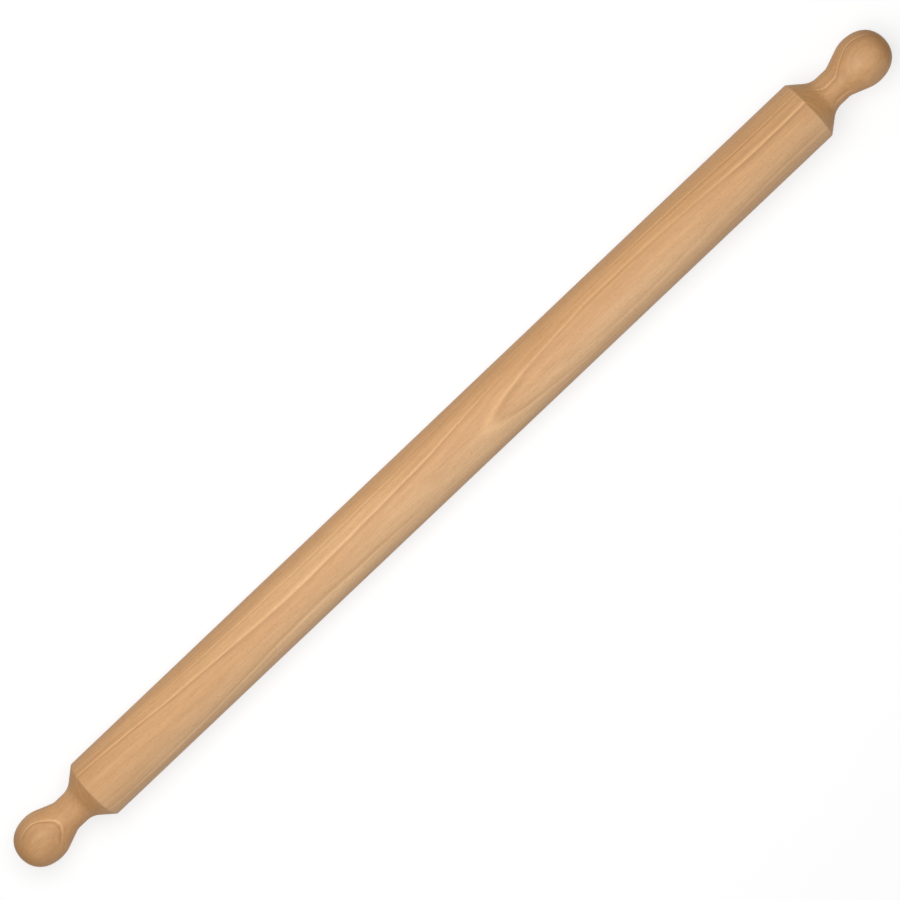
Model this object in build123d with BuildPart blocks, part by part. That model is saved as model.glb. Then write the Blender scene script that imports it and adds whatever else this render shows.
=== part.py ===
from build123d import *
from math import acos, atan2, cos, hypot, pi, radians, sin, tan
import os

# Rolling pin turned from one beech billet: a long straight barrel, and at
# each end a handle of the same wood, which is a cove, a waist and a rounded
# knob. Units are millimetres. The turning axis is X, +Z is up, and the origin
# is on that axis, halfway along the barrel. Both handles are alike.

# Barrel: a plain cylinder whose end corners are just eased
barrel_diameter = 46.0
barrel_length = 662.2
shoulder_round = 1.5

# Cove: the slope from the barrel's corner down to the foot of the waist
cove_length = 13.5
cove_round = 15.0

# Waist: the narrow neck between the feet of the cove and of the knob
waist_diameter = 24.2
waist_length = 13.7

# Knob: a straight back rises from the waist and runs on, without a corner,
# into an ellipsoid that is widest at knob_diameter. The nose from there to
# the tip is an ellipsoid too where knob_fullness is 1, and blunter above it
knob_root_round = 10.0
knob_diameter = 37.0
knob_back_length = 21.0
knob_nose_length = 20.7
knob_fullness = 1.2

# Most of a straight stretch that the round at one of its ends may take, and
# the least turn, in radians, from the knob's back up to its widest place
round_stretch_share = 0.45
least_back_turn = 0.02

# Stations along the axis, from the end of the barrel out to the tip
shoulder_x = barrel_length / 2
waist_inner_x = shoulder_x + cove_length
waist_outer_x = waist_inner_x + waist_length
knob_x = waist_outer_x + knob_back_length
tip_x = knob_x + knob_nose_length

barrel_radius = barrel_diameter / 2
waist_radius = waist_diameter / 2
knob_radius = knob_diameter / 2


def nose_turn():
    """Angle round the knob's ellipse from its tip to where the back is tangent.

    With the ellipse squeezed to a circle of radius 1, the back starts at a
    point (along, out) from the centre, and a tangent from there meets the
    circle where the circle's own radius is square to it.
    """
    along = knob_back_length / knob_nose_length
    out = waist_radius / knob_radius
    return pi - atan2(out, along) - acos(1 / hypot(along, out))


def fitted_round(wanted, before, corner, after):
    """The wanted radius at a corner, or the largest that its two stretches allow."""
    run_in = Vector(*corner) - Vector(*before)
    run_out = Vector(*after) - Vector(*corner)
    room = round_stretch_share * min(run_in.length, run_out.length)
    return min(wanted, room / tan(radians(run_in.get_angle(run_out)) / 2))


# Corners of the half outline, as distance along the axis and radius
back_turn = max(nose_turn() - pi / 2, least_back_turn)
middle = (0, barrel_radius)
shoulder = (shoulder_x, barrel_radius)
waist_inner = (waist_inner_x, waist_radius)
waist_outer = (waist_outer_x, waist_radius)
back_end = (
    knob_x - knob_nose_length * sin(back_turn),
    knob_radius * cos(back_turn),
)
crown = (knob_x, knob_radius)
tip = (tip_x, 0)

# Where the tangents at the two ends of each arc meet. A curve through three
# points is an ellipse if the one between weighs the cosine of half the turn
back_corner = (knob_x - knob_nose_length * tan(back_turn / 2), knob_radius)
nose_corner = (tip_x, knob_radius)
back_weight = cos(back_turn / 2)
nose_weight = knob_fullness * cos(pi / 4)

with BuildPart() as rolling_pin:
    with BuildSketch(Plane.XY) as section:
        with BuildLine() as outline:
            FilletPolyline(
                middle,
                shoulder,
                waist_inner,
                waist_outer,
                back_end,
                radius=(
                    fitted_round(shoulder_round, middle, shoulder, waist_inner),
                    fitted_round(cove_round, shoulder, waist_inner, waist_outer),
                    fitted_round(knob_root_round, waist_inner, waist_outer, back_end),
                ),
            )
            Bezier(back_end, back_corner, crown, weights=(1, back_weight, 1))
            Bezier(crown, nose_corner, tip, weights=(1, nose_weight, 1))
            Polyline(tip, (0, 0), middle)
        make_face()
        mirror(about=Plane.YZ)
    revolve(axis=Axis.X)

rolling_pin.part.label = "rolling_pin"
os.makedirs("parts", exist_ok=True)
export_step(rolling_pin.part, "parts/rolling_pin.step")
print("overall length", 2 * tip_x, "volume", round(rolling_pin.part.volume))
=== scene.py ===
"""Looks of a pasta rolling pin that is turned, barrel and handles together, from one beech billet.

The pin is one surface of revolution about the X axis. Its wood is a solid pattern: the growth
layers, fibres and rays are laid out in the log that the pin was cut from, and the turned
surface only shows where it cuts through them.
"""

import logging
from collections.abc import Iterable, Mapping
from dataclasses import dataclass, field
from enum import Enum
from math import acos, atan2, cos, hypot, pi, radians, sin, tan
from typing import Any

import bpy
import numpy as np
from mathutils import Matrix, Vector


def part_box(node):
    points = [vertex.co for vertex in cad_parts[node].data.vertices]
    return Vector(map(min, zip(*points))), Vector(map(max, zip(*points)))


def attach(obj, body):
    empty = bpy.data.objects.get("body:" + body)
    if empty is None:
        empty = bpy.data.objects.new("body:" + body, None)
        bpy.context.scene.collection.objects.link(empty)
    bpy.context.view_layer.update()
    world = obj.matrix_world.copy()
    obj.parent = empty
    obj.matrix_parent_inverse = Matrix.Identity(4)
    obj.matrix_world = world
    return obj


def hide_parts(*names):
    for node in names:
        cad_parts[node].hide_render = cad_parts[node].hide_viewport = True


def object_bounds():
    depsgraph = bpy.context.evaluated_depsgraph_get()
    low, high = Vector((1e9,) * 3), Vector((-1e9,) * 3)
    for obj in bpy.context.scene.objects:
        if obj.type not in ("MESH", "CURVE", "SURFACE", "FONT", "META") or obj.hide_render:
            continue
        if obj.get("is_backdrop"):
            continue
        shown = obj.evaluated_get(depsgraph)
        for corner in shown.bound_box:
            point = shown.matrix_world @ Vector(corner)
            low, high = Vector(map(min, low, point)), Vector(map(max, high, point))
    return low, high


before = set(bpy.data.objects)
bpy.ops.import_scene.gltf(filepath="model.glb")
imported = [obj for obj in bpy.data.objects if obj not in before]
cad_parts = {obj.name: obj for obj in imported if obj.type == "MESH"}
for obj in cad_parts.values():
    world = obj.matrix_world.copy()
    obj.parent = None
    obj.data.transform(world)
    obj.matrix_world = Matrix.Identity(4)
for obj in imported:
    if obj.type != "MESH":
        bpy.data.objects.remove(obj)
cad_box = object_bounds()

MM = 0.001
log = logging.getLogger("rolling_pin")

Tree = bpy.types.NodeTree
Socket = bpy.types.NodeSocket

# The sockets of a colour mix, which shares their names with the other kinds of mix
MIX_FROM, MIX_TO, MIX_RESULT = 6, 7, 2


class Side(Enum):
    """The sides of the plane through the pith and the pin's axis, by the sign of y."""

    BOTH = 0
    PLUS_Y = 1
    MINUS_Y = -1


class Reading(Enum):
    """What the wood reads at each point of the surface, by the name of the mesh's attribute."""

    GRAIN = "grain"
    LINE_STRENGTH = "line_strength"
    PALENESS = "painted_sheen_and_grey"
    TONE = "tone"


class Ray(Enum):
    """The rays that see the studio as a plain white background."""

    CAMERA = "Is Camera Ray"
    GLOSSY = "Is Glossy Ray"
    TRANSMISSION = "Is Transmission Ray"


def linear(colour: str) -> tuple[float, float, float, float]:
    """Turns an sRGB colour into the linear values that shaders work in.

    A channel c from 0 to 1 becomes c / 12.92 up to 0.04045, and above that
    ((c + 0.055) / 1.055) to the power 2.4.

    Args:
        colour: The colour as "#RRGGBB".

    Returns:
        Linear red, green and blue, and an alpha of 1.
    """
    channels = np.array([int(colour[i : i + 2], 16) for i in (1, 3, 5)]) / 255
    bent = np.where(channels <= 0.04045, channels / 12.92, ((channels + 0.055) / 1.055) ** 2.4)
    return (*bent.tolist(), 1.0)


def add_node(
    tree: Tree,
    kind: str,
    settings: Mapping[str, Any] | None = None,
    inputs: Mapping[str | int, Any] | None = None,
) -> bpy.types.Node:
    """Adds a node to a tree, with its settings and links.

    Args:
        tree: The tree that gets the node.
        kind: Blender's name for the node's type.
        settings: Properties to set on the node.
        inputs: For each input, a socket to link to it or a value to write on it.

    Returns:
        The new node.
    """
    made = tree.nodes.new(kind)
    for name, value in (settings or {}).items():
        setattr(made, name, value)
    for name, value in (inputs or {}).items():
        if isinstance(value, Socket):
            tree.links.new(value, made.inputs[name])
        else:
            made.inputs[name].default_value = value
    return made


def rounded_corner(
    before: np.ndarray, corner: np.ndarray, after: np.ndarray, radius: float, steps: int
) -> np.ndarray:
    """Points along the arc that rounds a corner of an outline.

    The arc touches both runs at radius * tan(turn / 2) from the corner. Its points are the
    first touching point, turned about the arc's centre in even steps.

    Args:
        before: The outline's point before the corner.
        corner: The corner itself.
        after: The outline's point after the corner.
        radius: The arc's radius.
        steps: How many points to give.

    Returns:
        An array of (x, r) points, both touching points among them.
    """
    run_in = (corner - before) / np.linalg.norm(corner - before)
    run_out = (after - corner) / np.linalg.norm(after - corner)
    turn = atan2(run_in[0] * run_out[1] - run_in[1] * run_out[0], run_in @ run_out)
    start = corner - run_in * radius * tan(abs(turn) / 2)
    inwards = np.sign(turn) * np.array([-run_in[1], run_in[0]])
    centre = start + inwards * radius
    angles = np.linspace(0, turn, steps)[:, None]
    spoke = start - centre
    square = np.array([-spoke[1], spoke[0]])
    return centre + spoke * np.cos(angles) + square * np.sin(angles)


def conic_arc(
    start: np.ndarray, corner: np.ndarray, end: np.ndarray, weight: float, steps: int
) -> np.ndarray:
    """Points along an arc that leaves one point towards a corner and comes from it to the other.

    With t from 0 to 1, each point is the mean of start, corner and end with the weights
    (1 - t)^2, 2 * weight * t * (1 - t) and t^2. The arc is part of an ellipse if the weight
    is the cosine of half its turn, and a greater weight pulls it towards the corner.

    Args:
        start: Where the arc begins.
        corner: Where the tangents at its two ends meet.
        end: Where it ends.
        weight: The corner's weight.
        steps: How many points to give.

    Returns:
        An array of (x, r) points, both ends among them.
    """
    t = np.linspace(0, 1, steps)[:, None]
    pull = 2 * weight * t * (1 - t)
    total = (1 - t) ** 2 + pull + t**2
    return ((1 - t) ** 2 * start + pull * corner + t**2 * end) / total


def straight_run(start: np.ndarray, end: np.ndarray, longest: float) -> np.ndarray:
    """Evenly spaced points between two points of an outline, without those two.

    Args:
        start: Where the run begins.
        end: Where it ends.
        longest: The most that two neighbours may be apart.

    Returns:
        An array of (x, r) points, which is empty for a short run.
    """
    pieces = max(1, int(np.ceil(np.linalg.norm(end - start) / longest)))
    shares = np.linspace(0, 1, pieces + 1)[1:-1, None]
    return start + (end - start) * shares


def turned_surface(outline: np.ndarray, segments: int) -> tuple[np.ndarray, list[list[int]]]:
    """Carries an outline round the X axis, and closes it in one point at each end.

    Ring i and spoke j give the point (x_i, r_i * cos(a_j), r_i * sin(a_j)). A face has four
    corners, one step along and one step round, and a face at a tip has three.

    Args:
        outline: (x, r) points from one tip to the other, where only the tips have r = 0.
        segments: How many spokes go round the axis.

    Returns:
        The vertices, ring by ring and then both tips, and the faces, with their corners in
        outward order: first the quads, then the left cap and the right one.
    """
    angles = np.linspace(0, 2 * pi, segments, endpoint=False)
    x, r = outline[1:-1, 0, None], outline[1:-1, 1, None]
    rings = np.stack([x + 0 * angles, r * np.cos(angles), r * np.sin(angles)], axis=-1)
    tips = np.array([[outline[0, 0], 0, 0], [outline[-1, 0], 0, 0]])
    vertices = np.concatenate([rings.reshape(-1, 3), tips])

    near = np.arange(segments)
    far = np.roll(near, -1)
    last_ring = segments * (len(outline) - 3)
    ring = np.arange(0, last_ring, segments)[:, None]
    corners = [ring + near, ring + far, ring + segments + far, ring + segments + near]
    quads = np.stack(corners, axis=-1).reshape(-1, 4)
    left_tip = np.full(segments, len(vertices) - 2)
    right_tip = np.full(segments, len(vertices) - 1)
    left_cap = np.stack([left_tip, far, near], axis=-1)
    right_cap = np.stack([last_ring + near, last_ring + far, right_tip], axis=-1)
    return vertices, quads.tolist() + left_cap.tolist() + right_cap.tolist()


def flat_places(stations: np.ndarray, segments: int) -> np.ndarray:
    """Where the corners of a turned surface's faces lie on a flat map.

    A corner on ring i and spoke j lies at (station_i, j / segments). The last spoke's far
    side is at 1, not at 0 again, and a tip lies halfway between the spokes of each face.

    Args:
        stations: The place of each point of the outline along the map, from 0 to 1.
        segments: How many spokes go round the axis.

    Returns:
        One place for each corner of each face, in the order that turned_surface gives them.
    """
    near = np.arange(segments) / segments
    far, halfway = near + 1 / segments, near + 0.5 / segments
    ring, following = stations[1:-2, None], stations[2:-1, None]
    quads = [(ring, near), (ring, far), (following, far), (following, near)]
    left_cap = [(stations[0], halfway), (stations[1], far), (stations[1], near)]
    right_cap = [(stations[-2], near), (stations[-2], far), (stations[-1], halfway)]
    groups = [
        np.stack([np.stack(np.broadcast_arrays(*corner), axis=-1) for corner in face], axis=-2)
        for face in (quads, left_cap, right_cap)
    ]
    return np.concatenate([group.reshape(-1, 2) for group in groups])


@dataclass(frozen=True)
class Barrel:
    """The straight working length of the pin, from its middle to one corner."""

    half_length: float
    radius: float
    station_gap: float = 8 * MM

    def corner(self) -> np.ndarray:
        """The (x, r) point where the barrel's side would meet the cove, unrounded."""
        return np.array([self.half_length, self.radius])


@dataclass(frozen=True)
class Handle:
    """A handle turned on the end of the barrel: a cove, a narrow waist and a rounded knob."""

    shoulder_round: float = 1.5 * MM
    cove_length: float = 13.5 * MM
    cove_round: float = 15.0 * MM
    waist_radius: float = 12.1 * MM
    waist_length: float = 13.7 * MM
    knob_root_round: float = 10.0 * MM
    knob_back_length: float = 21.0 * MM
    knob_radius: float = 18.5 * MM
    knob_nose_length: float = 20.7 * MM
    knob_fullness: float = 1.2
    station_gap: float = 1.0 * MM
    round_steps: int = 14
    back_steps: int = 16
    nose_steps: int = 48

    @property
    def length(self) -> float:
        """From the barrel's corner out to the tip."""
        return self.cove_length + self.waist_length + self.knob_back_length + self.knob_nose_length

    def back_turn(self) -> float:
        """Angle round the knob's ellipse from its widest place to where the straight back touches it.

        With the ellipse squeezed to a circle of radius 1, the back starts at a point
        (along, out) from its centre, and the radius to where a tangent from there
        touches is square to the tangent: its angle is pi / 2 - atan(out / along) -
        acos(1 / distance).

        Returns:
            The angle in radians.
        """
        along = self.knob_back_length / self.knob_nose_length
        out = self.waist_radius / self.knob_radius
        return pi / 2 - atan2(out, along) - acos(1 / hypot(along, out))

    def outline(self, barrel: Barrel) -> np.ndarray:
        """The half outline of the pin, from its middle out to the tip.

        The straight runs meet in three rounds. The knob is an arc of an ellipse up to its
        widest place, and from there to the tip an arc that is blunter by knob_fullness.

        Args:
            barrel: The barrel that the handle is turned on.

        Returns:
            An array of (x, r) points with x from 0 to the tip.
        """
        knob_x = barrel.half_length + self.length - self.knob_nose_length
        back_turn = self.back_turn()
        middle = np.array([0, barrel.radius])
        shoulder = barrel.corner()
        waist_inner = np.array([barrel.half_length + self.cove_length, self.waist_radius])
        waist_outer = waist_inner + (self.waist_length, 0)
        crown = np.array([knob_x, self.knob_radius])
        tip = np.array([knob_x + self.knob_nose_length, 0])
        behind_crown = self.knob_nose_length * sin(back_turn)
        below_crown = self.knob_radius * (1 - cos(back_turn))
        back_end = crown - (behind_crown, below_crown)
        back_corner = crown - (self.knob_nose_length * tan(back_turn / 2), 0)
        nose_corner = crown + (self.knob_nose_length, 0)
        nose_weight = self.knob_fullness * cos(pi / 4)
        back_arc = conic_arc(back_end, back_corner, crown, cos(back_turn / 2), self.back_steps)
        nose_arc = conic_arc(crown, nose_corner, tip, nose_weight, self.nose_steps)

        shoulder_arc, cove_arc, root_arc = (
            rounded_corner(before, corner, after, radius, self.round_steps)
            for before, corner, after, radius in (
                (middle, shoulder, waist_inner, self.shoulder_round),
                (shoulder, waist_inner, waist_outer, self.cove_round),
                (waist_inner, waist_outer, back_end, self.knob_root_round),
            )
        )
        stretches = [
            middle[None],
            straight_run(middle, shoulder_arc[0], barrel.station_gap),
            shoulder_arc,
            straight_run(shoulder_arc[-1], cove_arc[0], self.station_gap),
            cove_arc,
            straight_run(cove_arc[-1], root_arc[0], self.station_gap),
            root_arc,
            straight_run(root_arc[-1], back_end, self.station_gap),
            back_arc,
            nose_arc[1:],
        ]
        return np.concatenate(stretches)


@dataclass(frozen=True)
class Stretch:
    """A stretch of one growth layer whose line stands out more, or less, than the rest do.

    Lengths are in millimetres. Layer 0 is the billet's first layer, and 1 the next one out.
    """

    layer: int
    start: float
    end: float
    strength: float
    side: Side = Side.BOTH
    fade: float = 25.0
    side_fade: float = 5.0
    bell_shift: float = 0.12
    bell_reach: float = 0.75

    def share(self, x: np.ndarray, across: np.ndarray, layer: np.ndarray) -> np.ndarray:
        """How much of the stretch's strength each point takes.

        Along the log it is half of tanh((x - start) / fade) - tanh((x - end) / fade). Through
        the layers it is a cosine bell that peaks a little outside the line, so that the dark
        wood there takes part, and ends short of the next lines. On a side it is half of
        1 + tanh(across / side_fade), and its mirror image is for the other side.

        Args:
            x: Places along the log.
            across: Distances from the plane through the pith.
            layer: Distances through the log, counted in layers.

        Returns:
            One share for each point.
        """
        along = (np.tanh((x - self.start) / self.fade) - np.tanh((x - self.end) / self.fade)) / 2
        off = np.clip((layer - self.layer - self.bell_shift) / self.bell_reach, -1, 1)
        on_side = 1.0
        if self.side is not Side.BOTH:
            on_side = (1 + self.side.value * np.tanh(across / self.side_fade)) / 2
        return along * (1 + np.cos(pi * off)) / 2 * on_side


@dataclass(frozen=True)
class Patch:
    """A soft-edged place on the pin where the wood is paler, deeper or less red than round it.

    Lengths are in millimetres, and angles in degrees about the axis, from the top towards +Y.
    A tone above 0 makes it paler, and a grey above 0 less red, mixing in the painted sheen's
    colour. Some patches are the wood's own tone, and some are painted light and painted shade.
    """

    x: float
    run: float
    angle: float
    spread: float
    tone: float = 0.0
    grey: float = 0.0

    def share(self, x: np.ndarray, angle: np.ndarray) -> np.ndarray:
        """How much of the patch each point takes: 1 in its middle, and less all round it.

        It is exp(-(((x - place) / run)^2 + ((angle - place) / spread)^2) / 2).

        Args:
            x: Places along the pin.
            angle: Angles about its axis.

        Returns:
            One share for each point.
        """
        along = (x - self.x) / self.run
        across = (angle - self.angle) / self.spread
        return np.exp(-(along**2 + across**2) / 2)


@dataclass(frozen=True)
class Billet:
    """Where the pin lies in its log, which sets how the growth layers cross it.

    Lengths are in millimetres. The layers are rings round a pith that lies well below the
    pin's axis. They keep that place along the pin but for a step past its middle, a sag near
    the left end, a swell near the right one, and a slight twist into the left handle.
    """

    pith_depth: float = 85.0
    turn: float = radians(14.6)
    left_turn: float = radians(4.0)
    twist_from: float = -360.0
    twist_to: float = -230.0
    first_layer: float = 17.4
    step_x: float = 45.0
    step_run: float = 90.0
    step_fall: float = 8.4
    sag_x: float = -322.0
    sag_run: float = 75.0
    sag_depth: float = 3.7
    swell_x: float = 304.0
    swell_run: float = 67.0
    swell_height: float = 2.8
    line_strength: float = 0.22
    lines_end: float = 329.6
    lines_fade: float = 3.0
    stretches: tuple[Stretch, ...] = (
        # The first layer and two inside it, along the barrel
        Stretch(0, -380, 35, 1.25, Side.PLUS_Y, fade=30),
        Stretch(0, -335, -60, 0.8, Side.MINUS_Y),
        Stretch(0, 170, 345, 1.1, Side.PLUS_Y),
        Stretch(-1, -330, -30, -0.2, Side.PLUS_Y),
        Stretch(-2, -310, -35, 0.75, Side.PLUS_Y, fade=15),
        # The layers outside it, the second of which makes the pointed figure past the middle
        Stretch(1, -420, -230, -0.3),
        Stretch(2, -420, -230, -0.3),
        Stretch(2, 22, 345, 0.65, Side.PLUS_Y, fade=15),
        Stretch(2, 262, 345, 1.0, Side.PLUS_Y, fade=10),
        Stretch(2, 262, 345, 0.4, Side.MINUS_Y, fade=15),
        Stretch(2, 30, 115, 0.35, Side.MINUS_Y),
        Stretch(2, 28, 80, 0.3, fade=10),
        Stretch(3, 40, 420, -0.3, Side.PLUS_Y),
        Stretch(3, 120, 215, 0.35, Side.MINUS_Y),
        # The open loop on the left knob
        Stretch(-2, -386, -350, 2.2, Side.PLUS_Y, fade=5),
        Stretch(-2, -368, -352, 1.5, Side.MINUS_Y, fade=6),
        # The line over the right neck and on to its knob, and the short one opposite
        Stretch(-2, 327, 391, 1.6, Side.PLUS_Y, fade=5),
        Stretch(-2, 370, 391, 0.9, Side.PLUS_Y, fade=5),
        Stretch(-2, 345, 362, 1.4, Side.MINUS_Y, fade=5),
    )
    # Painted sheen: past a plane this far beside the axis and turned this way, one side of the pin is
    # painted paler and greyer, in place of a soft white reflection
    painted_sheen_turn: float = radians(50)
    painted_sheen_from: float = 14.5
    painted_sheen_to: float = 25.0
    patches: tuple[Patch, ...] = (
        # Along the barrel: places where the wood is less red, redder, deeper or paler, and two paler
        # bands near the sides of the left half, at -51 and 47 degrees, which are painted light
        Patch(-115, 90, 28, 13, grey=0.4),
        Patch(-30, 50, -17, 12, grey=0.45),
        Patch(151, 45, -22, 12, tone=0.04, grey=0.4),
        Patch(-125, 110, -51, 12, tone=0.17),
        Patch(-315, 25, -38, 12, tone=-0.02, grey=-0.3),
        Patch(-268, 45, 47, 9, tone=0.1),
        Patch(181, 70, 12, 7, tone=-0.09),
        Patch(-24, 22, 7, 6, tone=-0.08),
        # On the left knob and neck: painted shade, darker on the knob's sides, near its tip and on
        # the neck, and on one side redder
        Patch(-381, 12, -55, 18, tone=-0.08, grey=-0.3),
        Patch(-393, 8, 45, 26, tone=-0.22),
        Patch(-371, 6, -15, 16, tone=-0.11),
        Patch(-353, 9, 0, 50, tone=-0.06),
        # On the right knob and neck: painted shade, darker on the knob's sides, at its tip and on the
        # neck, and painted light on the knob's top
        Patch(377, 12, -55, 18, tone=-0.09),
        Patch(377, 13, 0, 22, tone=0.08),
        Patch(382, 13, 42, 20, tone=-0.14),
        Patch(400, 6, 0, 90, tone=-0.35),
        Patch(361, 5, 8, 32, tone=-0.13),
    )

    def layer_level(self, x: np.ndarray) -> np.ndarray:
        """Height of one growth layer over the axis, as a function of the place along it.

        It is a level, less half the fall times tanh((x - step) / run), less a bell curve at
        the sag, plus a bell curve at the swell. A bell curve is exp(-((x - place) / run)^2 / 2).

        Args:
            x: Places along the log.

        Returns:
            One height for each place.
        """
        step = self.step_fall / 2 * np.tanh((x - self.step_x) / self.step_run)
        sag = self.sag_depth * np.exp(-(((x - self.sag_x) / self.sag_run) ** 2) / 2)
        swell = self.swell_height * np.exp(-(((x - self.swell_x) / self.swell_run) ** 2) / 2)
        return self.first_layer - step - sag + swell

    def grain(self, points: np.ndarray) -> np.ndarray:
        """Coordinates of points in the log: along it, round its pith and out through its layers.

        The point is turned about X until the layers lie flat, by an angle that eases with
        3s^2 - 2s^3 between the two given. From the pith, pith_depth below, its distance less
        the layer's level is the coordinate through the layers, and its angle times
        pith_depth is the one round the pith.

        Args:
            points: Points on the pin, in metres.

        Returns:
            One row of millimetres for each point.
        """
        x, y, z = points.T / MM
        share = np.clip((x - self.twist_from) / (self.twist_to - self.twist_from), 0, 1)
        turn = self.left_turn + (self.turn - self.left_turn) * share**2 * (3 - 2 * share)
        across = y * np.cos(turn) + z * np.sin(turn)
        out = z * np.cos(turn) - y * np.sin(turn) + self.pith_depth
        through = np.hypot(out, across) - self.pith_depth - self.layer_level(x)
        return np.stack([x, np.arctan2(across, out) * self.pith_depth, through], axis=-1)

    def strengths(self, grain: np.ndarray, year: float) -> np.ndarray:
        """How plainly the growth lines show: the even strength, with each stretch's share added.

        The even strength is line_strength times half of 1 - tanh((|x| - end) / fade), so it
        stays on the barrel.

        Args:
            grain: Coordinates in the log, as grain gives them.
            year: How thick one layer is.

        Returns:
            One strength for each row, from 0 up.
        """
        x, across, through = grain.T
        even = self.line_strength * (1 - np.tanh((np.abs(x) - self.lines_end) / self.lines_fade)) / 2
        shares = [part.strength * part.share(x, across, through / year) for part in self.stretches]
        return np.maximum(even + np.sum(shares, axis=0), 0)

    def painted_sheen_and_grey(self, points: np.ndarray) -> np.ndarray:
        """How far points lie on the side of the pin that is painted paler and greyer, as painted sheen.

        That side lies past a plane beside the axis, and with s the share of the way between the
        plane's two distances the share is 3s^2 - 2s^3. The patches' grey adds to it.

        Args:
            points: Points on the pin, in metres.

        Returns:
            0 off the painted side, 1 well on it.
        """
        x, y, z = points.T / MM
        distance = z * np.cos(self.painted_sheen_turn) - y * np.sin(self.painted_sheen_turn)
        share = np.clip((distance - self.painted_sheen_from) / (self.painted_sheen_to - self.painted_sheen_from), 0, 1)
        angle = np.degrees(np.arctan2(y, z))
        added = np.sum([patch.grey * patch.share(x, angle) for patch in self.patches], axis=0)
        return np.clip(share**2 * (3 - 2 * share) + added, 0, 1)

    def tones_and_painted_shading(self, points: np.ndarray) -> np.ndarray:
        """What the patches add to the wood's shade: its own tone, and painted light and shade.

        Args:
            points: Points on the pin, in metres.

        Returns:
            One sum for each point, below 0 where the colour is deeper.
        """
        x, y, z = points.T / MM
        angle = np.degrees(np.arctan2(y, z))
        return np.sum([patch.tone * patch.share(x, angle) for patch in self.patches], axis=0)


@dataclass(frozen=True)
class Figure:
    """A soft pattern in the wood, with features of a set length each way.

    Lengths are in millimetres: along the log, round the pith and out through the layers. The
    detail is how many finer layers the pattern has, and the weight is what it is taken times.
    """

    lengths: tuple[float, float, float]
    detail: float
    weight: float


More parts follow.
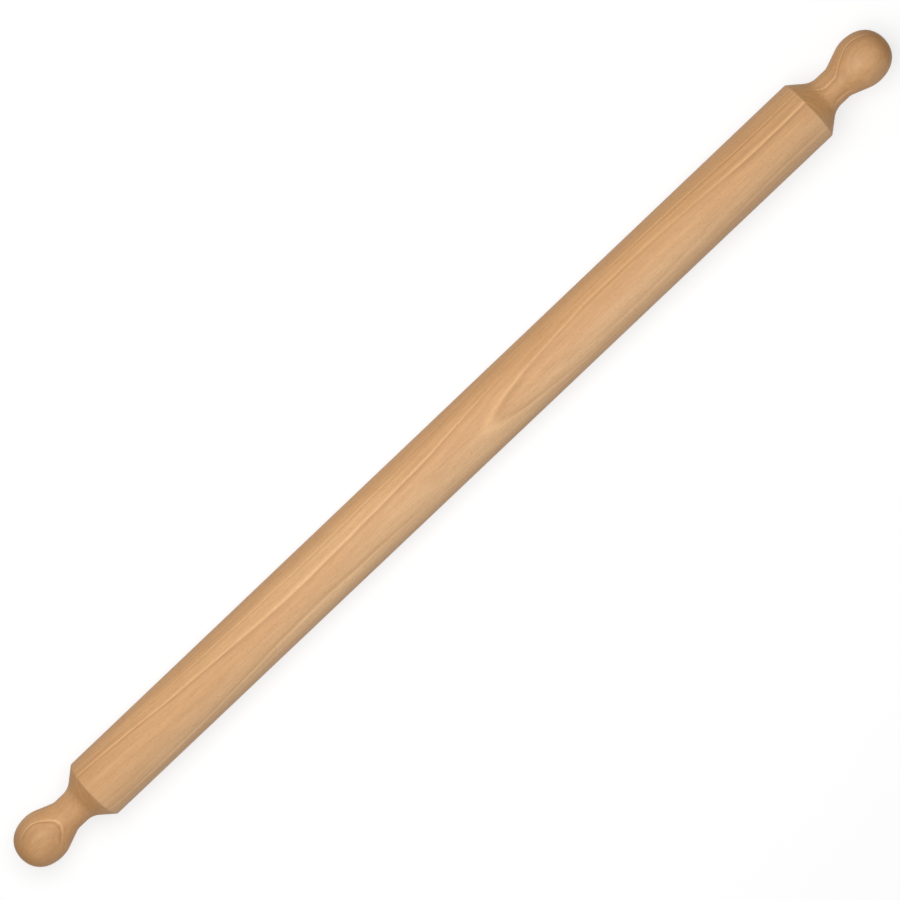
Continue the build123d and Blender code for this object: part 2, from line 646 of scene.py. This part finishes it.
@dataclass(frozen=True)
class SteamedBeech:
    """European beech, steamed, turned and finely sanded, with no varnish on it.

    Steaming makes the whole log an even pinkish tan. One side of the pin is painted paler and
    greyer: painted sheen, in place of a soft white reflection on that side. Each year's layer
    ends in a thin pale line with a thin darker one after it. Fibres draw fine streaks along the
    log, and the rays, thin brown sheets that stand out from the pith, show as small dashes. Cut
    across, as on the coves and at the tips, the wood is darker. Bare sanded wood has a soft
    sheen and no shine. Lengths are in millimetres.

    A shade of 0 is the deep colour, 1 the pale one, and plain_shade is plain wood. year is the
    thickness of a year's layer, and its profile gives shades at shares of that, outwards from
    one pale line to the next.
    """

    heart_deep: str = "#AB7746"
    heart_pale: str = "#F4C088"
    # Painted sheen: the paler, greyer colours mixed in on one side of the pin and at the grey patches
    painted_sheen_and_grey_deep: str = "#B9875A"
    painted_sheen_and_grey_pale: str = "#FFD5A5"
    plain_shade: float = 0.5
    roughness: float = 0.56
    ior: float = 1.5

    year: float = 2.4
    layer_weight: float = 0.55
    layer_profile: tuple[tuple[float, float], ...] = (
        (0.0, 0.96),
        (0.08, 0.77),
        (0.16, 0.44),
        (0.25, 0.23),
        (0.36, 0.29),
        (0.48, 0.41),
        (0.63, 0.52),
        (0.76, 0.61),
        (0.86, 0.73),
        (0.93, 0.86),
        (1.0, 0.96),
    )
    waver: Figure = Figure((90, 30, 30), detail=2, weight=0.4)

    # Bundles of fibres are about 0.1 mm wide, too fine to show, and are drawn 0.8 mm wide
    fibre: Figure = Figure((16, 0.8, 0.8), detail=3, weight=0.09)
    streak: Figure = Figure((110, 4, 2.2), detail=2, weight=0.10)
    cloud: Figure = Figure((120, 28, 16), detail=1, weight=0.08)
    figure_roughness: float = 0.55
    fibre_relief: float = 0.01

    # The cut ends of the rays are about 0.2 mm wide, and are drawn 0.5 mm wide
    fleck: str = "#A9763F"
    fleck_spacing: tuple[float, float, float] = (3.4, 0.9, 9.0)
    fleck_core: float = 0.18
    fleck_rim: float = 0.36
    fleck_share: float = 0.2

    end_grain: str = "#B1792C"
    end_grain_from: float = 0.25
    end_grain_share: float = 0.64

    def pattern(self, tree: Tree, place: Socket, figure: Figure) -> Socket:
        """A figure's soft pattern, which swings about 0.

        Args:
            tree: The material's nodes.
            place: Coordinates in the log, in millimetres.
            figure: The figure to draw.

        Returns:
            The pattern, not yet taken times its weight.
        """
        scaled = add_node(
            tree, "ShaderNodeVectorMath", {"operation": "DIVIDE"}, {0: place, 1: figure.lengths}
        )
        noise = add_node(
            tree,
            "ShaderNodeTexNoise",
            {"normalize": False},
            {
                "Vector": scaled.outputs[0],
                "Scale": 1.0,
                "Detail": figure.detail,
                "Roughness": self.figure_roughness,
            },
        )
        return noise.outputs[0]

    def growth(self, tree: Tree, place: Socket) -> Socket:
        """The growth layers: a pale line, a darker one outside it, then slowly paler again.

        The distance through the layers, with a slight waver, is counted in years from the
        last line. Its fraction picks the shade from the layer's profile, and the difference
        from plain wood is scaled with the strength that the billet gives.

        Args:
            tree: The material's nodes.
            place: Coordinates in the log, in millimetres.

        Returns:
            The shade's difference from plain wood.
        """
        waver = self.pattern(tree, place, self.waver)
        through = add_node(tree, "ShaderNodeSeparateXYZ", None, {0: place}).outputs["Z"]
        wavered = add_node(
            tree,
            "ShaderNodeMath",
            {"operation": "MULTIPLY_ADD"},
            {0: waver, 1: self.waver.weight, 2: through},
        )
        years = add_node(
            tree, "ShaderNodeMath", {"operation": "DIVIDE"}, {0: wavered.outputs[0], 1: self.year}
        )
        fraction = add_node(tree, "ShaderNodeMath", {"operation": "FRACT"}, {0: years.outputs[0]})
        ramp = add_node(tree, "ShaderNodeValToRGB", None, {"Fac": fraction.outputs[0]})
        profile = ramp.color_ramp.elements
        for position, _ in self.layer_profile[1:-1]:
            profile.new(position)
        for element, (_, shade) in zip(profile, self.layer_profile, strict=True):
            element.color = (shade, shade, shade, 1.0)
        off = add_node(
            tree, "ShaderNodeMath", {"operation": "SUBTRACT"}, {0: ramp.outputs[0], 1: self.plain_shade}
        )
        strength = add_node(tree, "ShaderNodeAttribute", {"attribute_name": Reading.LINE_STRENGTH.value})
        scaled = add_node(
            tree,
            "ShaderNodeMath",
            {"operation": "MULTIPLY"},
            {0: off.outputs[0], 1: strength.outputs["Fac"]},
        )
        return scaled.outputs[0]

    def flecks(self, tree: Tree, place: Socket) -> Socket:
        """The cut ends of the rays: dashes about 2 mm long, 0.5 mm wide and 5 mm deep in the log.

        There is one point to each fleck_spacing of wood. A fleck is whole up to fleck_core
        from its point, as a share of the spacing, and gone past fleck_rim.

        Args:
            tree: The material's nodes.
            place: Coordinates in the log, in millimetres.

        Returns:
            How much of the fleck's colour shows, up to fleck_share.
        """
        scaled = add_node(
            tree, "ShaderNodeVectorMath", {"operation": "DIVIDE"}, {0: place, 1: self.fleck_spacing}
        )
        cells = add_node(tree, "ShaderNodeTexVoronoi", None, {"Vector": scaled.outputs[0], "Scale": 1.0})
        faded = add_node(
            tree,
            "ShaderNodeMapRange",
            {"interpolation_type": "SMOOTHSTEP"},
            {
                "Value": cells.outputs["Distance"],
                "From Min": self.fleck_rim,
                "From Max": self.fleck_core,
                "To Max": self.fleck_share,
            },
        )
        return faded.outputs[0]

    def across_grain(self, tree: Tree) -> Socket:
        """End grain, by how far the surface cuts across the fibres, which run along X.

        The size of its normal's X is 0 along the fibres and 1 square to them. End grain
        starts to show at end_grain_from.

        Args:
            tree: The material's nodes.

        Returns:
            How much of the end grain's colour shows, up to end_grain_share.
        """
        facing = add_node(tree, "ShaderNodeTexCoord").outputs["Normal"]
        along = add_node(tree, "ShaderNodeSeparateXYZ", None, {0: facing}).outputs["X"]
        steepness = add_node(tree, "ShaderNodeMath", {"operation": "ABSOLUTE"}, {0: along})
        eased = add_node(
            tree,
            "ShaderNodeMapRange",
            {"interpolation_type": "SMOOTHSTEP"},
            {
                "Value": steepness.outputs[0],
                "From Min": self.end_grain_from,
                "From Max": 1.0,
                "To Max": self.end_grain_share,
            },
        )
        return eased.outputs[0]

    def shade(self, tree: Tree, place: Socket, fibre: Socket) -> Socket:
        """The wood's shade: plain, plus the patches' tone with their painted light and shade, the layers
        and the figures by weight.

        Args:
            tree: The material's nodes.
            place: Coordinates in the log, in millimetres.
            fibre: The pattern of the fibres.

        Returns:
            The shade, from 0 at its deepest to 1 at its palest.
        """
        # The patches' own tone, and their painted light and shade
        tone = add_node(tree, "ShaderNodeAttribute", {"attribute_name": Reading.TONE.value})
        parts = (
            (tone.outputs["Fac"], 1.0),
            (self.growth(tree, place), self.layer_weight),
            (fibre, self.fibre.weight),
            (self.pattern(tree, place, self.streak), self.streak.weight),
            (self.pattern(tree, place, self.cloud), self.cloud.weight),
        )
        total = self.plain_shade
        for part, weight in parts:
            total = add_node(
                tree, "ShaderNodeMath", {"operation": "MULTIPLY_ADD"}, {0: part, 1: weight, 2: total}
            ).outputs[0]
        return total

    def colour(self, tree: Tree, place: Socket, shade: Socket) -> Socket:
        """The wood's colour: heart wood, with the painted sheen's colour, flecks and end grain mixed in,
        in turn.

        Args:
            tree: The material's nodes.
            place: Coordinates in the log, in millimetres.
            shade: The wood's shade.

        Returns:
            The colour.
        """
        heart, painted_sheen_and_grey_wood = (
            add_node(
                tree,
                "ShaderNodeMix",
                {"data_type": "RGBA"},
                {"Factor": shade, MIX_FROM: linear(deep), MIX_TO: linear(pale)},
            ).outputs[MIX_RESULT]
            for deep, pale in ((self.heart_deep, self.heart_pale), (self.painted_sheen_and_grey_deep, self.painted_sheen_and_grey_pale))
        )
        painted_sheen_and_grey = add_node(tree, "ShaderNodeAttribute", {"attribute_name": Reading.PALENESS.value})
        mixed_in = (
            # Painted sheen: a paler, greyer colour on one side of the pin and at the grey patches
            (painted_sheen_and_grey.outputs["Fac"], painted_sheen_and_grey_wood),
            (self.flecks(tree, place), linear(self.fleck)),
            (self.across_grain(tree), linear(self.end_grain)),
        )
        mixed = heart
        for share, other in mixed_in:
            mixed = add_node(
                tree,
                "ShaderNodeMix",
                {"data_type": "RGBA"},
                {"Factor": share, MIX_FROM: mixed, MIX_TO: other},
            ).outputs[MIX_RESULT]
        return mixed

    def material(self) -> bpy.types.Material:
        """The finish, for a surface that carries the readings.

        Returns:
            The material.
        """
        made = bpy.data.materials.new("steamed_beech_turned_and_sanded")
        made.use_nodes = True
        tree = made.node_tree
        tree.nodes.clear()
        grain = add_node(tree, "ShaderNodeAttribute", {"attribute_name": Reading.GRAIN.value})
        place = grain.outputs["Vector"]
        fibre = self.pattern(tree, place, self.fibre)
        shade = self.shade(tree, place, fibre)
        relief = {"Distance": self.fibre_relief * MM, "Height": fibre}
        wood = {
            "Base Color": self.colour(tree, place, shade),
            "Roughness": self.roughness,
            "IOR": self.ior,
            "Normal": add_node(tree, "ShaderNodeBump", None, relief).outputs[0],
        }
        principled = add_node(tree, "ShaderNodeBsdfPrincipled", None, wood)
        add_node(tree, "ShaderNodeOutputMaterial", None, {"Surface": principled.outputs[0]})
        return made


@dataclass(frozen=True)
class RollingPin:
    """The whole pin, which is one piece of wood.

    Its surface carries a flat map that no material reads. On it the handles, with their finer
    figure, get handle_detail times the room for their length that the barrel gets.
    """

    barrel: Barrel
    handle: Handle
    billet: Billet = field(default_factory=Billet)
    finish: SteamedBeech = field(default_factory=SteamedBeech)
    segments: int = 256
    handle_detail: float = 2.0
    flat_map: str = "OFBake"
    node: str = "rolling_pin"
    body: str = "root"
    slot: str = "beech"

    @classmethod
    def from_frame(cls) -> "RollingPin":
        """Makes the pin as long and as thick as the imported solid.

        Returns:
            The pin, with its barrel worked out from the solid's box.
        """
        _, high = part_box(cls.node)
        handle = Handle()
        barrel = Barrel(half_length=high.x - handle.length, radius=high.y)
        return cls(barrel, handle)

    def outline(self) -> np.ndarray:
        """The whole outline, from tip to tip: the half's mirror image, and the half."""
        half = self.handle.outline(self.barrel)
        return np.concatenate([half[:0:-1] * (-1, 1), half])

    def stations(self, outline: np.ndarray) -> np.ndarray:
        """Where each point of the outline lies along the wood's flat map.

        It is the running length of the outline, where a length on a handle counts for
        handle_detail times as much as on the barrel.

        Args:
            outline: (x, r) points from tip to tip.

        Returns:
            One place for each point, from 0 to 1.
        """
        lengths = np.linalg.norm(np.diff(outline, axis=0), axis=1)
        middles = np.abs(outline[1:, 0] + outline[:-1, 0]) / 2
        on_handle = middles > self.barrel.half_length
        counted = np.where(on_handle, self.handle_detail * lengths, lengths)
        reached = np.concatenate([[0], np.cumsum(counted)])
        return reached / reached[-1]

    def lay_flat(self, mesh: bpy.types.Mesh, outline: np.ndarray) -> None:
        """Gives the surface its flat map: along the outline one way, round the axis the other.

        Args:
            mesh: The pin's surface.
            outline: The (x, r) points that it was turned from.
        """
        places = flat_places(self.stations(outline), self.segments)
        flat = mesh.uv_layers.new(name=self.flat_map)
        flat.uv.foreach_set("vector", places.astype(np.float32).ravel())

    def dress(self, mesh: bpy.types.Mesh, points: np.ndarray) -> None:
        """Gives the surface its wood, and what the wood reads at each point.

        Args:
            mesh: The pin's surface.
            points: Its vertices, in metres.
        """
        grain = self.billet.grain(points)
        place = mesh.attributes.new(Reading.GRAIN.value, "FLOAT_VECTOR", "POINT")
        place.data.foreach_set("vector", grain.astype(np.float32).ravel())
        # Beside the grain, the surface carries the painted sheen's share and the patches' painted light
        # and shade
        readings = {
            Reading.LINE_STRENGTH: self.billet.strengths(grain, self.finish.year),
            Reading.PALENESS: self.billet.painted_sheen_and_grey(points),
            Reading.TONE: self.billet.tones_and_painted_shading(points),
        }
        for reading, values in readings.items():
            attribute = mesh.attributes.new(reading.value, "FLOAT", "POINT")
            attribute.data.foreach_set("value", values.astype(np.float32))
        mesh.materials.append(self.finish.material())

    def build(self) -> bpy.types.Object:
        """Makes the pin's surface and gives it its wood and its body.

        Returns:
            The finished piece.
        """
        outline = self.outline()
        points, faces = turned_surface(outline, self.segments)
        mesh = bpy.data.meshes.new("turned_pin")
        mesh.from_pydata(points, [], faces)
        mesh.shade_smooth()
        self.lay_flat(mesh, outline)
        self.dress(mesh, points)
        pin = bpy.data.objects.new("turned_pin", mesh)
        bpy.context.scene.collection.objects.link(pin)
        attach(pin, self.body)
        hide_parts(self.node)
        return pin


@dataclass(frozen=True)
class Studio:
    """A white floor, one large soft lamp above it and a pale room all round.

    Lengths are in metres. The shares are how much of the light that shows white paper as
    white comes from the lamp and from the room. The floor's glow is only for what sees it.
    """

    floor_level: float
    floor_width: float = 6.0
    floor_albedo: float = 0.36
    floor_glow: float = 0.72
    lamp_radius: float = 0.4
    lamp_height: float = 0.85
    lamp_x: float = -0.03
    lamp_y: float = 0.16
    lamp_share: float = 0.65
    room_share: float = 0.36

    def white_for(self, tree: Tree) -> Socket:
        """Tells the rays that see the studio from those that only carry light.

        Args:
            tree: The nodes of the floor or of the room.

        Returns:
            1 for the rays that see it, and 0 for the rest.
        """
        path = add_node(tree, "ShaderNodeLightPath")
        seen = 0.0
        for ray in Ray:
            seen = add_node(
                tree, "ShaderNodeMath", {"operation": "MAXIMUM"}, {0: path.outputs[ray.value], 1: seen}
            ).outputs[0]
        return seen

    def floor_material(self) -> bpy.types.Material:
        """Matt paper, which a glow lifts to white where it is seen, and which keeps the shadow.

        Returns:
            The material.
        """
        made = bpy.data.materials.new("matt_white_paper")
        made.use_nodes = True
        tree = made.node_tree
        tree.nodes.clear()
        grey = (self.floor_albedo,) * 3 + (1.0,)
        paper = add_node(tree, "ShaderNodeBsdfDiffuse", None, {"Color": grey})
        strength = add_node(
            tree,
            "ShaderNodeMath",
            {"operation": "MULTIPLY"},
            {0: self.white_for(tree), 1: self.floor_glow},
        )
        glow = add_node(tree, "ShaderNodeEmission", None, {"Strength": strength.outputs[0]})
        both = add_node(tree, "ShaderNodeAddShader", None, {0: paper.outputs[0], 1: glow.outputs[0]})
        add_node(tree, "ShaderNodeOutputMaterial", None, {"Surface": both.outputs[0]})
        return made

    def build_floor(self) -> bpy.types.Object:
        """A square sheet, centred under the pin, that the barrel rests on.

        Returns:
            The floor, which isn't part of the object.
        """
        half = self.floor_width / 2
        mesh = bpy.data.meshes.new("floor")
        corners = [(-half, -half), (half, -half), (half, half), (-half, half)]
        mesh.from_pydata([(x, y, self.floor_level) for x, y in corners], [], [(0, 1, 2, 3)])
        mesh.materials.append(self.floor_material())
        floor = bpy.data.objects.new("floor", mesh)
        bpy.context.scene.collection.objects.link(floor)
        floor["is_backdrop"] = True
        return floor

    def build_lamp(self) -> bpy.types.Object:
        """A round soft lamp above the pin, a little to its far side.

        A disc of radius a lights what lies under it at distance h with pi * L * a^2 /
        (a^2 + h^2), where its radiance L is power / (pi * pi * a^2). White paper shows as
        white under pi, so the power is share * pi^2 * (a^2 + h^2).

        Returns:
            The lamp.
        """
        data = bpy.data.lights.new("soft_lamp", "AREA")
        data.shape = "DISK"
        data.size = 2 * self.lamp_radius
        data.energy = self.lamp_share * pi**2 * (self.lamp_radius**2 + self.lamp_height**2)
        lamp = bpy.data.objects.new("soft_lamp", data)
        lamp.location = (self.lamp_x, self.lamp_y, self.lamp_height)
        lamp.visible_camera = False
        bpy.context.scene.collection.objects.link(lamp)
        return lamp

    def build_room(self) -> bpy.types.World:
        """Even pale light from all sides, which shows as plain white behind the pin.

        Returns:
            The world.
        """
        world = bpy.data.worlds.new("pale_room")
        world.use_nodes = True
        tree = world.node_tree
        tree.nodes.clear()
        strength = add_node(
            tree,
            "ShaderNodeMapRange",
            None,
            {"Value": self.white_for(tree), "To Min": self.room_share, "To Max": 1.0},
        )
        white = {"Color": linear("#FFFFFF"), "Strength": strength.outputs[0]}
        light = add_node(tree, "ShaderNodeBackground", None, white)
        add_node(tree, "ShaderNodeOutputWorld", None, {"Surface": light.outputs[0]})
        bpy.context.scene.world = world
        return world


@dataclass(frozen=True)
class Viewpoint:
    """The camera, nearly straight above the pin, which lies from corner to corner of the picture.

    It leans towards the pin's right end, and the pin's axis rises from the picture's level.
    Lengths are in metres, but the lens and its sensor are in millimetres.
    """

    distance: float = 2.3
    lean: float = radians(3.18)
    rise: float = radians(43.529)
    lens: float = 137.0
    sensor: float = 36.0
    aim_x: float = 1.65 * MM
    aim_y: float = 0.5 * MM

    def build(self) -> bpy.types.Object:
        """Makes the camera, and turns it about its own line of sight.

        With X' the pin's axis as the camera sees it, and Y' square to it, the picture's right is
        X' cos(rise) - Y' sin(rise), and its top is X' sin(rise) + Y' cos(rise).

        Returns:
            The camera, which is the scene's.
        """
        back = Vector((sin(self.lean), 0, cos(self.lean)))
        along = Vector((cos(self.lean), 0, -sin(self.lean)))
        square = back.cross(along)
        right = along * cos(self.rise) - square * sin(self.rise)
        top = along * sin(self.rise) + square * cos(self.rise)
        data = bpy.data.cameras.new("camera")
        data.lens = self.lens
        data.sensor_width = self.sensor
        camera = bpy.data.objects.new("camera", data)
        turn = Matrix((right, top, back)).transposed().to_4x4()
        place = Vector((self.aim_x, self.aim_y, 0)) + back * self.distance
        camera.matrix_world = Matrix.Translation(place) @ turn
        bpy.context.scene.collection.objects.link(camera)
        bpy.context.scene.camera = camera
        return camera


def write_sizes(boxes: Iterable[tuple[Vector, Vector]]) -> None:
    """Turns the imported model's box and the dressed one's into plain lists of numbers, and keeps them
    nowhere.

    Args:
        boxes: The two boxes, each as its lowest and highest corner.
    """
    named = zip(("cad", "visual"), boxes, strict=True)
    {name: [list(corner) for corner in box] for name, box in named}


def main() -> None:
    """Builds the pin and its studio, and reports each piece."""
    logging.basicConfig(level=logging.INFO, format="%(name)s: %(message)s")
    bpy.context.scene.view_settings.view_transform = "Standard"
    viewpoint = Viewpoint()
    viewpoint.build()
    log.info("camera %.2f m away", viewpoint.distance)
    pin = RollingPin.from_frame()
    piece = pin.build()
    log.info("%s: %d faces", piece.name, len(piece.data.polygons))
    studio = Studio(floor_level=-pin.barrel.radius)
    studio.build_floor()
    studio.build_lamp()
    studio.build_room()
    log.info("floor at %.4f m, one lamp and the room", studio.floor_level)
    write_sizes((cad_box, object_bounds()))


if __name__ == "__main__":
    main()
